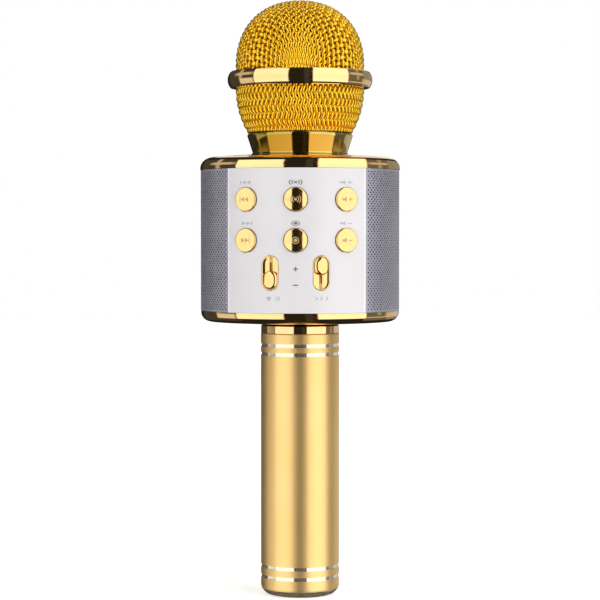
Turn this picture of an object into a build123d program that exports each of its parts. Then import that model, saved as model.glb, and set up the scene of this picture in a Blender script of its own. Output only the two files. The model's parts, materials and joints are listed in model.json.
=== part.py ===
"""Handheld karaoke microphone with a built-in loudspeaker drum, modelled as a bench assembly.

The frame: origin on the axis at the underside of the tail cap, +Z up towards the mesh head, and the
control panel facing -Y. Lengths are in millimetres. Angles round the drum are measured from the front
(-Y), positive towards +X, so 90 is the right-hand side and 180 is the back.
"""

import math
import os

from build123d import *

# ---------------------------------------------------------------- driving dimensions

# heights up the axis
tail_seam_z = 1.5
grip_top_z = 108.4
bezel_top_z = 112.75
drum_bottom_z = 113.25
lower_seam_z = 117.7
upper_seam_z = 175.6
drum_top_z = 181.65
neck_top_z = 190.4
basket_bottom_z = 190.9
mesh_split_z = 213.2
dome_centre_z = 218.5
dome_top_z = 245.5

# handle
grip_radius = 16.2
grip_bore = 14.2
groove_depth = 0.35
groove_height = 1.3
groove_heights = (7.9, 12.1, 99.9, 103.5)
spigot_radius = 12.1
spigot_bore = 9.9

# drum
drum_radius = 41.2
panel_outer = 41.3
panel_inner = 40.0
barrel_outer = 39.6
barrel_inner = 37.4
panel_half_angle = 41.7
rear_half_angle = 20.0
seam_gap = 0.1
drum_middle_z = (lower_seam_z + upper_seam_z) / 2

# front controls, as angles round the drum and heights
column_angle = 28.9
button_rows = (163.0, 146.75)
button_radius = 4.75
button_hole_radius = 4.95
slider_angle = 14.3
slider_z = 133.8
slot_width = 7.0
slot_height = 14.1
slider_travel = 5.5
cap_width = 5.9
cap_height = 7.4

# head
mesh_radius = 26.6
mesh_thickness = 1.8
dome_fullness = 2.2
capsule_radius = 10.0

# loudspeakers, one facing each side
baffle_face = 31.2
baffle_back = 29.6
driver_z = 146.5
driver_radius = 20.0

# rear connectors stand on the right-hand face of an upright board
board_left_x = -4.6
board_right_x = -3.0
connector_front_y = 39.7
usb_z = 142.5
charge_z = 156.0
jack_z = 166.0
jack_bore_radius = 1.8
jack_depth = 13.0
card_z = 156.0
switch_z = 127.0
switch_travel = 3.0

os.makedirs("parts", exist_ok=True)


def write(part, name):
    """Labels a finished part and writes it as its own STEP file."""
    part.label = name
    export_step(part, f"parts/{name}.step")


# ---------------------------------------------------------------- shared frames and profiles


def facing(angle, height, z=0.0):
    """A plane tangent to the drum's axis cylinder of radius height, its normal pointing outwards.

    Its local X runs to the right as seen from outside, and its local Y runs up.
    """
    a = math.radians(angle)
    outwards = Vector(math.sin(a), -math.cos(a), 0)
    right = (math.cos(a), math.sin(a), 0)
    return Plane(origin=outwards * height + Vector(0, 0, z), x_dir=right, z_dir=outwards)


def outwards_axis(angle, z=0.0):
    """The axis that runs outwards from the drum's axis at an angle and a height."""
    return Axis(facing(angle, 0, z).origin, facing(angle, 0, z).z_dir)


def section(frame):
    """The plane through a frame's Z axis that holds (radius, height) profiles."""
    return Plane(origin=frame.origin, x_dir=frame.x_dir, z_dir=-frame.y_dir)


def outline(*points):
    """A closed straight-sided face in the current sketch."""
    with BuildLine() as edge:
        Polyline(*points, close=True)
    make_face(edge.edges())


def turned(frame, *points):
    """Revolves a straight-sided (radius, height) profile about the frame's Z axis."""
    with BuildPart() as body:
        with BuildSketch(section(frame)):
            outline(*points)
        revolve(axis=Axis(frame.origin, frame.z_dir))
    return body


def arc_band(inner, outer, start, end, low, high):
    """An upright curved plate on the drum's axis, from angle start to angle end."""
    from_x = start - 90
    with BuildPart() as band:
        with BuildSketch(Plane.XY.offset(low)):
            with BuildLine():
                far = CenterArc((0, 0), outer, from_x, end - start)
                near = CenterArc((0, 0), inner, from_x, end - start)
                Line(far @ 0, near @ 0)
                Line(far @ 1, near @ 1)
            make_face()
        extrude(amount=high - low)
    return band


def upright_slot(width, height):
    """An obround in the current sketch, longer along Y."""
    SlotOverall(height, width, rotation=90)


# ---------------------------------------------------------------- handle

# satin grip tube, with two polished grooves turned in each end and a rounded tail end
with BuildPart() as handle_tube:
    with BuildSketch(Plane.XZ):
        with BuildLine():
            Polyline(
                (15.05, tail_seam_z),
                (grip_bore, tail_seam_z),
                (grip_bore, grip_top_z),
                (grip_radius - 0.3, grip_top_z),
                (grip_radius, grip_top_z - 0.3),
                (grip_radius, 4.2),
            )
            ThreePointArc((grip_radius, 4.2), (15.85, 2.65), (15.05, tail_seam_z))
        make_face()
        for z in groove_heights:
            with Locations((grip_radius, z)):
                Rectangle(2 * groove_depth, groove_height, mode=Mode.SUBTRACT)
    revolve(axis=Axis.Z)
write(handle_tube.part, "handle_tube")

# hollow plug that closes the grip's lower end and carries the battery contact
tail_face_radius = 11.8
with BuildPart() as tail_cap:
    with BuildSketch(Plane.XZ):
        with BuildLine():
            Polyline(
                (tail_face_radius, 0),
                (0, 0),
                (0, 4.5),
                (11.0, 4.5),
                (11.0, 13.0),
                (14.0, 13.0),
                (14.0, tail_seam_z - 0.1),
                (15.0, tail_seam_z - 0.1),
            )
            ThreePointArc((15.0, tail_seam_z - 0.1), (13.7, 0.45), (tail_face_radius, 0))
        make_face()
    revolve(axis=Axis.Z)
write(tail_cap.part, "tail_cap")

# polished ring between the grip and the drum
bezel_radius = 16.1
with BuildPart() as handle_bezel:
    with BuildSketch(Plane.XZ):
        outline(
            (spigot_radius + 0.2, 104.2),
            (14.0, 104.2),
            (14.0, grip_top_z + seam_gap),
            (bezel_radius, grip_top_z + seam_gap),
            (bezel_radius, 111.4),
            (14.6, bezel_top_z),
            (spigot_radius + 0.2, bezel_top_z),
        )
    revolve(axis=Axis.Z)
write(handle_bezel.part, "handle_bezel")

# moulded core that joins the grip to the drum; its flange lies on the drum's floor
spigot_screw_circle = 15.5
with BuildPart() as handle_spigot:
    with BuildSketch(Plane.XZ):
        outline(
            (spigot_bore, 88.0),
            (14.0, 88.0),
            (14.0, 104.0),
            (spigot_radius, 104.0),
            (spigot_radius, 115.4),
            (19.0, 115.4),
            (19.0, 117.8),
            (spigot_bore, 117.8),
        )
    revolve(axis=Axis.Z)
    with BuildSketch(Plane.XY.offset(115.4)):
        with PolarLocations(spigot_screw_circle, 3, start_angle=90):
            Circle(1.3)
    extrude(amount=2.4, mode=Mode.SUBTRACT)
write(handle_spigot.part, "handle_spigot")

# round lithium cell with its raised terminal, standing on the contact spring
cell_radius = 9.2
cell_bottom_z = 21.0
cell_length = 65.0
with BuildPart() as battery_cell:
    with BuildSketch(Plane.XY.offset(cell_bottom_z)):
        Circle(cell_radius)
    extrude(amount=cell_length)
    fillet(battery_cell.edges().filter_by(GeomType.CIRCLE), 0.8)
    with BuildSketch(Plane.XY.offset(cell_bottom_z + cell_length)):
        Circle(2.8)
    extrude(amount=1.2)
write(battery_cell.part, "battery_cell")

# insulating sleeve between the cell and the grip
with BuildPart() as battery_sleeve:
    with BuildSketch(Plane.XY.offset(14.0)):
        Circle(13.9)
        Circle(cell_radius + 0.3, mode=Mode.SUBTRACT)
    extrude(amount=73.5)
    chamfer(battery_sleeve.edges().group_by(Axis.Z)[-1], 0.5)
write(battery_sleeve.part, "battery_sleeve")

# coiled contact under the cell
spring_wire = 0.5
spring_low = 5.2
with BuildPart() as battery_spring:
    with BuildLine():
        coil = Helix(pitch=3.5, height=14.5, radius=5.0, center=(0, 0, spring_low))
    with BuildSketch(Plane(origin=coil @ 0, z_dir=coil % 0)):
        Circle(spring_wire)
    sweep(is_frenet=True)
write(battery_spring.part, "battery_spring")

# ---------------------------------------------------------------- drum casing

# lower gold cap: a floor with a rolled outer edge and a skirt that plugs the barrel
floor_roll = 3.9
floor_radius = 37.0
with BuildPart() as bottom_cap:
    with BuildSketch(Plane.XZ):
        with BuildLine():
            Polyline(
                (floor_radius, drum_bottom_z),
                (spigot_radius + 0.3, drum_bottom_z),
                (spigot_radius + 0.3, 115.2),
                (35.6, 115.2),
                (35.6, 121.4),
                (37.2, 121.4),
                (37.2, lower_seam_z),
                (floor_radius + floor_roll, lower_seam_z),
                (floor_radius + floor_roll, drum_bottom_z + floor_roll),
            )
            CenterArc((floor_radius, drum_bottom_z + floor_roll), floor_roll, -90, 90)
        make_face()
    revolve(axis=Axis.Z)
    with BuildSketch(Plane.XY.offset(115.2)):
        with PolarLocations(spigot_screw_circle, 3, start_angle=90):
            Circle(0.9)
    extrude(amount=-1.6, mode=Mode.SUBTRACT)
write(bottom_cap.part, "bottom_cap")

# three screws through the spigot's flange into the drum's floor
with BuildPart() as spigot_screws:
    for place in PolarLocations(spigot_screw_circle, 3, start_angle=90):
        x, y = place.position.X, place.position.Y
        with Locations((x, y, 115.7)):
            Cylinder(0.85, 4.0, align=(Align.CENTER, Align.CENTER, Align.CENTER))
        with Locations((x, y, 117.9)):
            Cylinder(2.0, 1.4, align=(Align.CENTER, Align.CENTER, Align.MIN))
        with Locations((x, y, 118.9)):
            Box(2.6, 0.5, 1.0, mode=Mode.SUBTRACT)
            Box(0.5, 2.6, 1.0, mode=Mode.SUBTRACT)
write(spigot_screws.part, "spigot_screws")

# upper gold cap: slightly domed, rolled edge, open in the middle for the neck
rim_centre = (36.2, 176.3)
rim_across = drum_radius - rim_centre[0]
rim_up = 4.45
with BuildPart() as top_cap:
    with BuildSketch(Plane.XZ):
        with BuildLine():
            crown = ThreePointArc((16.6, drum_top_z), (27.0, 181.42), (rim_centre[0], rim_centre[1] + rim_up))
            EllipticalCenterArc(rim_centre, rim_across, rim_up, start_angle=0, arc_size=90)
            Polyline(
                (drum_radius, rim_centre[1]),
                (drum_radius, upper_seam_z),
                (37.2, upper_seam_z),
                (37.2, 171.6),
                (35.6, 171.6),
                (35.6, 178.6),
                (16.6, 178.6),
                crown @ 0,
            )
        make_face()
    revolve(axis=Axis.Z)
write(top_cap.part, "top_cap")

# black inner barrel, with windows for the keys, the connectors and the two drivers, and flat baffles
window_low = 121.6
window_high = 171.4
baffle_window_radius = 18.2
front_window_half_angle = 40.5
rear_window_half_angle = 15
with BuildPart() as inner_barrel:
    with BuildSketch(Plane.XY.offset(lower_seam_z + 0.2)):
        Circle(barrel_outer)
        Circle(barrel_inner, mode=Mode.SUBTRACT)
    extrude(amount=upper_seam_z - lower_seam_z - 0.4)
    for middle, half in ((0, front_window_half_angle), (180, rear_window_half_angle)):
        window = arc_band(30, 45, middle - half, middle + half, window_low, window_high)
        add(window.part, mode=Mode.SUBTRACT)
    for side in (-1, 1):
        with Locations((side * (baffle_face + baffle_back) / 2, 0, (window_low + window_high) / 2)):
            Box(baffle_face - baffle_back, 43.0, window_high - window_low - 0.4)
    with BuildSketch(Plane.YZ):
        with Locations((0, driver_z)):
            Circle(baffle_window_radius)
    extrude(amount=45, both=True, mode=Mode.SUBTRACT)
write(inner_barrel.part, "inner_barrel")

# perforated side grilles, each with a dust cloth behind it
grille_start = panel_half_angle + 0.3
grille_end = 180 - rear_half_angle - 0.3
for side, start, end in (
    ("right", grille_start, grille_end),
    ("left", -grille_end, -grille_start),
):
    low, high = lower_seam_z + seam_gap, upper_seam_z - seam_gap
    write(arc_band(40.4, 41.0, start, end, low, high).part, f"grille_{side}")
    write(arc_band(39.75, 40.2, start + 1, end - 1, low + 1, high - 1).part, f"grille_cloth_{side}")

# white control plate, bent round the front of the drum
front_band = arc_band(
    panel_inner,
    panel_outer,
    -panel_half_angle,
    panel_half_angle,
    lower_seam_z + seam_gap,
    upper_seam_z - seam_gap,
)
with BuildPart() as front_panel:
    add(front_band.part)
    for angle in (-column_angle, 0, column_angle):
        for z in button_rows:
            with BuildSketch(facing(angle, 36, z)):
                Circle(button_hole_radius)
            extrude(amount=8, mode=Mode.SUBTRACT)
    for angle in (-slider_angle, slider_angle):
        with BuildSketch(facing(angle, 36, slider_z)):
            upright_slot(slot_width, slot_height)
        extrude(amount=8, mode=Mode.SUBTRACT)
write(front_panel.part, "front_panel")

# rear connector plate
rear_band = arc_band(
    panel_inner,
    panel_outer,
    180 - rear_half_angle,
    180 + rear_half_angle,
    lower_seam_z + seam_gap,
    upper_seam_z - seam_gap,
)
light_x = 6.5
light_z = 130.0
card_x = -5.7
rear_cut = Plane(origin=(0, 36, 0), x_dir=(1, 0, 0), z_dir=(0, 1, 0))
with BuildPart() as rear_panel:
    add(rear_band.part)
    with BuildSketch(rear_cut):
        # the sketch's local Y runs down, so heights are negative
        with Locations((0, -usb_z)):
            RectangleRounded(5.2, 12.8, 0.5)
        with Locations((0, -charge_z)):
            SlotOverall(8.2, 3.2, rotation=90)
        with Locations((0, -jack_z)):
            Circle(3.1)
        with Locations((card_x, -card_z)):
            RectangleRounded(1.6, 12.0, 0.4)
        with Locations((0, -switch_z)):
            RectangleRounded(3.8, 7.4, 0.6)
        with Locations((light_x, -light_z)):
            Circle(1.1)
    extrude(amount=8, mode=Mode.SUBTRACT)
write(rear_panel.part, "rear_panel")

# ---------------------------------------------------------------- keys and faders

# curved key board, the moulding that carries it, and one switch under each key
key_angles = (-column_angle, 0, column_angle)
board_low = window_low + 0.4
board_high = window_high - 0.4
write(arc_band(34.6, 35.2, -37, 37, board_low, board_high).part, "key_board")

with BuildPart() as key_carrier:
    add(arc_band(32.9, 34.4, -44, 44, board_low, board_high).part)
    for start in (-44, 41):
        add(arc_band(34.3, 37.2, start, start + 3, board_low, board_high).part)
write(key_carrier.part, "key_carrier")

switch_face = 37.1
with BuildPart() as tact_switches:
    for angle in key_angles:
        for z in button_rows:
            with BuildSketch(facing(angle, 35.3, z)):
                RectangleRounded(6.0, 6.0, 0.4)
            extrude(amount=switch_face - 35.3)
            with BuildSketch(facing(angle, switch_face, z)):
                Circle(1.6)
            extrude(amount=0.6)
write(tact_switches.part, "tact_switches")

# six round keys: a shallow dome with a rounded edge, on a flange that stays behind the panel
key_names = (
    ("button_previous", "button_scan", "button_volume_up"),
    ("button_next", "button_record", "button_volume_down"),
)
key_top = 42.5
key_edge = 0.5
key_face_radius = button_radius - key_edge
dome_rise = 0.35
dome_radius = (key_face_radius**2 + dome_rise**2) / (2 * dome_rise)
dome_half = (key_face_radius / 2, key_top - dome_radius + math.sqrt(dome_radius**2 - (key_face_radius / 2) ** 2))
face_rim = (key_face_radius, key_top - dome_rise)
wall_top = (button_radius, face_rim[1] - key_edge)
flange_radius = 5.6
flange_low = 38.35
flange_high = 39.3
for row, z in zip(key_names, button_rows):
    for name, angle in zip(row, key_angles):
        with BuildPart() as button:
            with BuildSketch(section(facing(angle, 0, z))):
                with BuildLine():
                    Polyline(
                        (0, key_top),
                        (0, flange_low),
                        (flange_radius, flange_low),
                        (flange_radius, flange_high),
                        (button_radius, flange_high),
                        wall_top,
                    )
                    CenterArc((key_face_radius, wall_top[1]), key_edge, 0, 90)
                    ThreePointArc(face_rim, dome_half, (0, key_top))
                make_face()
            revolve(axis=outwards_axis(angle, z))
        write(button.part, name)

# fader trays: gold liners in the two slots, each with a slit for the fader's lever
tray_face = 41.35
tray_floor = 39.8
lever_width = 0.9
lever_height = 2.4
slit_width = 1.3
slit_height = lever_height + slider_travel + 0.5
for name, angle in (("mic_fader_tray", -slider_angle), ("reverb_fader_tray", slider_angle)):
    with BuildPart() as tray:
        with BuildSketch(facing(angle, 38.6, slider_z)):
            upright_slot(8.4, 16.0)
        extrude(amount=0.8)
        with BuildSketch(facing(angle, 39.4, slider_z)):
            upright_slot(slot_width - 0.2, slot_height - 0.2)
        extrude(amount=tray_face - 39.4)
        fillet(tray.edges().group_by(outwards_axis(angle))[-1], 0.2)
        with BuildSketch(facing(angle, tray_floor, slider_z)):
            upright_slot(slot_width - 1.0, slot_height - 1.0)
        extrude(amount=3, mode=Mode.SUBTRACT)
        with BuildSketch(facing(angle, 38, slider_z)):
            Rectangle(slit_width, slit_height)
        extrude(amount=3, mode=Mode.SUBTRACT)
    write(tray.part, name)

# fader caps, and their levers, each with a plate that shuts off the slit behind the tray;
# the left cap rests low and the right one rests high
rest_offset = slider_travel / 2
shutter_height = slit_height + slider_travel + 0.7
for name, angle, z in (
    ("mic_fader", -slider_angle, slider_z - rest_offset),
    ("reverb_fader", slider_angle, slider_z + rest_offset),
):
    with BuildPart() as fader_cap:
        with BuildSketch(facing(angle, tray_floor + 0.15, z)):
            upright_slot(cap_width, cap_height)
        extrude(amount=2.1)
        fillet(fader_cap.edges().group_by(outwards_axis(angle))[-1], 1.3)
    write(fader_cap.part, f"{name}_cap")
    with BuildPart() as lever:
        with BuildSketch(facing(angle, 36.2, z)):
            Rectangle(lever_width, lever_height)
        extrude(amount=tray_floor + 0.1 - 36.2)
        with BuildSketch(facing(angle, 38.27, z)):
            Rectangle(3.4, shutter_height)
        extrude(amount=0.23)
    write(lever.part, f"{name}_lever")

# slide potentiometers, open along the front for their levers
with BuildPart() as slide_pots:
    for angle in (-slider_angle, slider_angle):
        with BuildSketch(facing(angle, 35.4, slider_z)):
            Rectangle(6.6, 21.0)
        extrude(amount=2.8)
        with BuildSketch(facing(angle, 36.0, slider_z)):
            Rectangle(1.8, 12.0)
        extrude(amount=3, mode=Mode.SUBTRACT)
write(slide_pots.part, "slide_pots")

# ---------------------------------------------------------------- loudspeaker drivers

for side, angle in (("right", 90), ("left", -90)):
    axis_frame = facing(angle, 0, driver_z)
    frame_ring = turned(
        axis_frame,
        (driver_radius, 29.4),
        (driver_radius, 28.0),
        (18.6, 28.0),
        (12.2, 21.0),
        (12.2, 19.6),
        (5.2, 19.6),
        (5.2, 20.8),
        (11.0, 20.8),
        (11.0, 21.6),
        (17.6, 28.6),
        (17.6, 29.4),
    )
    write(frame_ring.part, f"driver_frame_{side}")
    cone = turned(
        axis_frame,
        (17.3, 29.4),
        (17.3, 28.9),
        (15.6, 28.4),
        (4.9, 23.2),
        (4.9, 20.9),
        (4.5, 20.9),
        (4.5, 23.4),
        (0, 24.0),
        (0, 24.5),
        (4.5, 24.0),
        (15.2, 29.0),
    )
    write(cone.part, f"driver_cone_{side}")
    magnet = turned(
        axis_frame,
        (0, 13.0),
        (12.0, 13.0),
        (12.0, 19.4),
        (5.0, 19.4),
        (5.0, 15.0),
        (4.2, 15.0),
        (4.2, 20.6),
        (0, 20.6),
    )
    write(magnet.part, f"driver_magnet_{side}")

# ---------------------------------------------------------------- rear board and connectors

with BuildPart() as main_board:
    with BuildSketch(Plane.YZ.offset(board_left_x)):
        with Locations((22.0, 146.75)):
            RectangleRounded(32.0, 48.5, 1.0)
    extrude(amount=board_right_x - board_left_x)
write(main_board.part, "main_board")

# amplifier, radio, memory and capacitors on the board's right-hand face
chip_blocks = (
    (12.0, 150.0, 7.0, 7.0, 1.0),
    (12.0, 138.0, 6.0, 5.0, 1.5),
    (12.0, 162.0, 9.0, 5.0, 1.2),
    (19.5, 130.0, 4.0, 4.0, 0.9),
)
with BuildPart() as board_chips:
    for y, z, along, up, thick in chip_blocks:
        with BuildSketch(Plane.YZ.offset(board_right_x)):
            with Locations((y, z)):
                Rectangle(along, up)
        extrude(amount=thick)
    for z in (126.5, 133.0):
        with BuildSketch(Plane.YZ.offset(board_right_x)):
            with Locations((12.0, z)):
                Circle(2.0)
        extrude(amount=5.0)
write(board_chips.part, "board_chips")


def connector_block(width, height, depth, z, x=0.0):
    """A box whose front stands just behind the rear plate."""
    with BuildPart() as block:
        with Locations((x, connector_front_y - depth / 2, z)):
            Box(width, depth, height)
    return block


with BuildPart() as usb_socket:
    add(connector_block(5.7, 13.2, 14.0, usb_z).part)
    with Locations((0, connector_front_y, usb_z)):
        Box(4.9, 2 * 12.5, 12.4, mode=Mode.SUBTRACT)
    with Locations((-1.1, connector_front_y - 7.8, usb_z)):
        Box(1.9, 9.6, 11.1)
write(usb_socket.part, "usb_socket")

with BuildPart() as charge_socket:
    add(connector_block(3.0, 8.0, 6.0, charge_z).part)
    fillet(charge_socket.edges().filter_by(Axis.Y), 0.8)
    with Locations((0, connector_front_y, charge_z)):
        Box(2.3, 2 * 5.0, 7.2, mode=Mode.SUBTRACT)
    with Locations((0, connector_front_y - 3.6, charge_z)):
        Box(0.7, 3.6, 5.0)
write(charge_socket.part, "charge_socket")

with BuildPart() as audio_jack:
    add(connector_block(5.6, 7.0, 14.0, jack_z).part)
    with BuildSketch(Plane(origin=(0, connector_front_y - 0.2, jack_z), z_dir=(0, 1, 0))):
        Circle(2.8)
    extrude(amount=1.7)
    with BuildSketch(Plane(origin=(0, 41.2, jack_z), z_dir=(0, 1, 0))):
        Circle(jack_bore_radius)
    extrude(amount=-jack_depth, mode=Mode.SUBTRACT)
write(audio_jack.part, "audio_jack")

with BuildPart() as card_socket:
    with Locations((card_x, 32.0, card_z)):
        Box(1.8, 14.0, 13.0)
    with Locations((card_x, 39.0, card_z)):
        Box(1.1, 2 * 13.0, 11.4, mode=Mode.SUBTRACT)
write(card_socket.part, "card_socket")

with BuildPart() as power_switch_body:
    with Locations((0, 34.6, switch_z)):
        Box(5.6, 5.6, 8.8)
write(power_switch_body.part, "power_switch_body")

knob_z = switch_z - switch_travel / 2
with BuildPart() as power_switch_knob:
    with Locations((0, 38.3, knob_z)):
        Box(5.0, 1.4, 5.8)
    with Locations((0, 40.4, knob_z)):
        Box(3.2, 3.6, 3.9)
    for offset in (-1.1, 0, 1.1):
        with Locations((0, 42.2, knob_z + offset)):
            Box(4.0, 0.7, 0.5, mode=Mode.SUBTRACT)
write(power_switch_knob.part, "power_switch_knob")

with BuildPart() as status_light:
    with BuildSketch(Plane(origin=(light_x, 38.0, light_z), z_dir=(0, 1, 0))):
        Circle(0.95)
    extrude(amount=2.9)
write(status_light.part, "status_light")

# ---------------------------------------------------------------- neck and capsule

with BuildPart() as neck_collar:
    with BuildSketch(Plane.XZ):
        with BuildLine():
            base = RadiusArc((20.85, drum_top_z + 0.1), (19.6, 182.85), 1.6)
            Polyline(
                base @ 1,
                (21.8, 189.7),
                (21.5, neck_top_z),
                (17.3, neck_top_z),
                (17.3, 196.2),
                (15.0, 196.2),
                (15.0, 176.4),
                (16.4, 176.4),
                (16.4, drum_top_z + 0.1),
                base @ 0,
            )
        make_face()
    revolve(axis=Axis.Z)
write(neck_collar.part, "neck_collar")

capsule_bottom_z = 199.2
capsule_top_z = 219.5
with BuildPart() as capsule_mount:
    with BuildSketch(Plane.XZ):
        outline(
            (5.0, 190.0),
            (14.8, 190.0),
            (14.8, 198.0),
            (12.4, 201.0),
            (12.4, 211.0),
            (capsule_radius + 0.15, 211.0),
            (capsule_radius + 0.15, 199.0),
            (5.0, 199.0),
        )
    revolve(axis=Axis.Z)
    fillet(capsule_mount.edges().group_by(Axis.Z)[-1], 0.5)
write(capsule_mount.part, "capsule_mount")

with BuildPart() as mic_capsule:
    with BuildSketch(Plane.XY.offset(capsule_bottom_z)):
        Circle(capsule_radius)
    extrude(amount=capsule_top_z - capsule_bottom_z)
    fillet(mic_capsule.edges().group_by(Axis.Z)[-1], 1.2)
    with BuildSketch(Plane.XY.offset(capsule_top_z)):
        with PolarLocations(5.5, 6):
            Circle(1.2)
        Circle(1.6)
    extrude(amount=-1.5, mode=Mode.SUBTRACT)
    with BuildSketch(Plane.XY.offset(213.5)):
        Circle(capsule_radius + 1)
        Circle(capsule_radius - 0.5, mode=Mode.SUBTRACT)
    extrude(amount=1.0, mode=Mode.SUBTRACT)
write(mic_capsule.part, "mic_capsule")

# ---------------------------------------------------------------- mesh head


def dome_points(inset):
    """Half of a slightly squared ellipse, from the dome's skirt to its top, drawn in by inset."""
    across, up = mesh_radius - inset, dome_top_z - dome_centre_z - inset
    steps = 10
    points = []
    for i in range(steps + 1):
        a = math.pi / 2 * i / steps
        r = across * math.cos(a) ** (2 / dome_fullness)
        z = dome_centre_z + up * math.sin(a) ** (2 / dome_fullness)
        points.append((r, z))
    points[-1] = (0, dome_centre_z + up)
    return points


def dome_line(inset, skirt_z):
    """The dome's profile line, from the foot of its skirt to the axis."""
    points = dome_points(inset)
    Line((points[0][0], skirt_z), points[0])
    Spline(*points, tangents=[(0, 1), (-1, 0)])
    return (points[0][0], skirt_z), points[-1]


with BuildPart() as mesh_dome:
    with BuildSketch(Plane.XZ):
        with BuildLine():
            foot, top = dome_line(0, mesh_split_z + seam_gap)
            inner_foot, inner_top = dome_line(mesh_thickness, mesh_split_z + seam_gap)
            Line(foot, inner_foot)
            Line(top, inner_top)
        make_face()
    revolve(axis=Axis.Z)
write(mesh_dome.part, "mesh_dome")


def basket_line(inset, low, high):
    """The basket's profile: an arc that widens up to the band, then straight."""
    arc = ThreePointArc((21.5 - inset, low), (25.3 - inset, 199.5), (mesh_radius - inset, 208.5))
    Line(arc @ 1, (mesh_radius - inset, high))
    return arc @ 0, (mesh_radius - inset, high)


with BuildPart() as mesh_basket:
    with BuildSketch(Plane.XZ):
        with BuildLine():
            foot, top = basket_line(0, basket_bottom_z, mesh_split_z - seam_gap)
            inner_foot, inner_top = basket_line(mesh_thickness, basket_bottom_z, mesh_split_z - seam_gap)
            Line(foot, inner_foot)
            Line(top, inner_top)
        make_face()
    revolve(axis=Axis.Z)
write(mesh_basket.part, "mesh_basket")

# polished band over the joint of the two meshes
with BuildPart() as head_ring:
    with BuildSketch(Plane.XZ):
        with BuildLine():
            bulge = ThreePointArc((28.9, 209.7), (29.9, 212.8), (28.8, 215.8))
            Polyline(bulge @ 1, (28.4, 216.1), (26.8, 216.1), (26.8, 209.4), (28.6, 209.4), bulge @ 0)
        make_face()
    revolve(axis=Axis.Z)
write(head_ring.part, "head_ring")

# hoop inside the meshes, which clamps them against the band
with BuildPart() as mesh_hoop:
    with BuildSketch(Plane.XY.offset(209.0)):
        Circle(mesh_radius - mesh_thickness - 0.1)
        Circle(mesh_radius - mesh_thickness - 0.9, mode=Mode.SUBTRACT)
    extrude(amount=8.0)
write(mesh_hoop.part, "mesh_hoop")

# foam windscreen inside the meshes
foam_gap = mesh_thickness + 1.1
foam_wall = 3.0
foam_bottom_z = 197.6
with BuildPart() as foam_windscreen:
    with BuildSketch(Plane.XZ):
        with BuildLine():
            for inset in (foam_gap, foam_gap + foam_wall):
                dome_line(inset, 208.5)
                ThreePointArc((mesh_radius - inset, 208.5), (25.9 - inset, 202.8), (24.4 - inset, foam_bottom_z))
            Line((24.4 - foam_gap, foam_bottom_z), (24.4 - foam_gap - foam_wall, foam_bottom_z))
            Line(dome_points(foam_gap)[-1], dome_points(foam_gap + foam_wall)[-1])
        make_face()
    revolve(axis=Axis.Z)
write(foam_windscreen.part, "foam_windscreen")

# threaded ring in the foot of the basket, which screws onto the neck
with BuildPart() as head_thread_ring:
    with BuildSketch(Plane.XY.offset(basket_bottom_z)):
        Circle(19.4)
        Circle(17.5, mode=Mode.SUBTRACT)
    extrude(amount=6.0)
    chamfer(head_thread_ring.edges().group_by(Axis.Z)[-1], 0.4)
write(head_thread_ring.part, "head_thread_ring")

# ---------------------------------------------------------------- internal leads


def lead(name, radius, points, bends):
    """A wire along straight runs joined by tangent arcs."""
    with BuildPart() as wire:
        with BuildLine():
            route = FilletPolyline(*points, radius=bends)
        with BuildSketch(Plane(origin=route @ 0, z_dir=route % 0)):
            Circle(radius)
        sweep()
    write(wire.part, name)


lead("microphone_lead", 0.6, [(0, 0, 198.8), (0, 0, 186.0), (-3.8, 9.0, 180.0), (-3.8, 12.0, 171.2)], [4.0, 4.0])
lead("battery_lead", 0.9, [(0, 0, 87.4), (0, 0, 106.0), (-3.8, 7.4, 116.0), (-3.8, 7.4, 122.3)], [6.0, 4.0])
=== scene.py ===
"""The karaoke microphone's looks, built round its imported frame.

Lengths are in metres and angles in degrees unless a name says otherwise. The control panel faces -Y, and
angles round the drum are measured from there, positive towards +X.
"""

import json
import math
import random

import bmesh
import bpy
import numpy as np
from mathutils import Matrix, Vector


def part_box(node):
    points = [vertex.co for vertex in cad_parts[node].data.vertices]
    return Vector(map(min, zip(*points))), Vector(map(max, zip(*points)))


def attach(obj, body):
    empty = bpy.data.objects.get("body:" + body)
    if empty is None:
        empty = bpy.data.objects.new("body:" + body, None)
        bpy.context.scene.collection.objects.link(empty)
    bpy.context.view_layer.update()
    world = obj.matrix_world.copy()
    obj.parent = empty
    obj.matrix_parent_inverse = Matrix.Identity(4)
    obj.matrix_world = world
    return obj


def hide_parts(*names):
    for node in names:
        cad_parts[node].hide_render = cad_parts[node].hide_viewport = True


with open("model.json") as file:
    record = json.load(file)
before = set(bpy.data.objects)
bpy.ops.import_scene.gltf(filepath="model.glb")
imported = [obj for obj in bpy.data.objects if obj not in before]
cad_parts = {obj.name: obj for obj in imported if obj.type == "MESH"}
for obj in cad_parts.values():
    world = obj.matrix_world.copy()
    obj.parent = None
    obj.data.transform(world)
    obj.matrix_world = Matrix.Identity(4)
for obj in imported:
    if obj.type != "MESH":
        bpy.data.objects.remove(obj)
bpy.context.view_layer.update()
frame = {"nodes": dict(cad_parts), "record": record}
MM = 0.001

# -------- places read from the frame

TOP_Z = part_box("mesh_dome")[1].z
DOME_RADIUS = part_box("mesh_dome")[1].x
DOME_FOOT_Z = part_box("mesh_dome")[0].z
BASKET_FOOT_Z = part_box("mesh_basket")[0].z
BASKET_TOP_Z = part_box("mesh_basket")[1].z

# -------- places on the drum, the same as in the CAD

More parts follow.
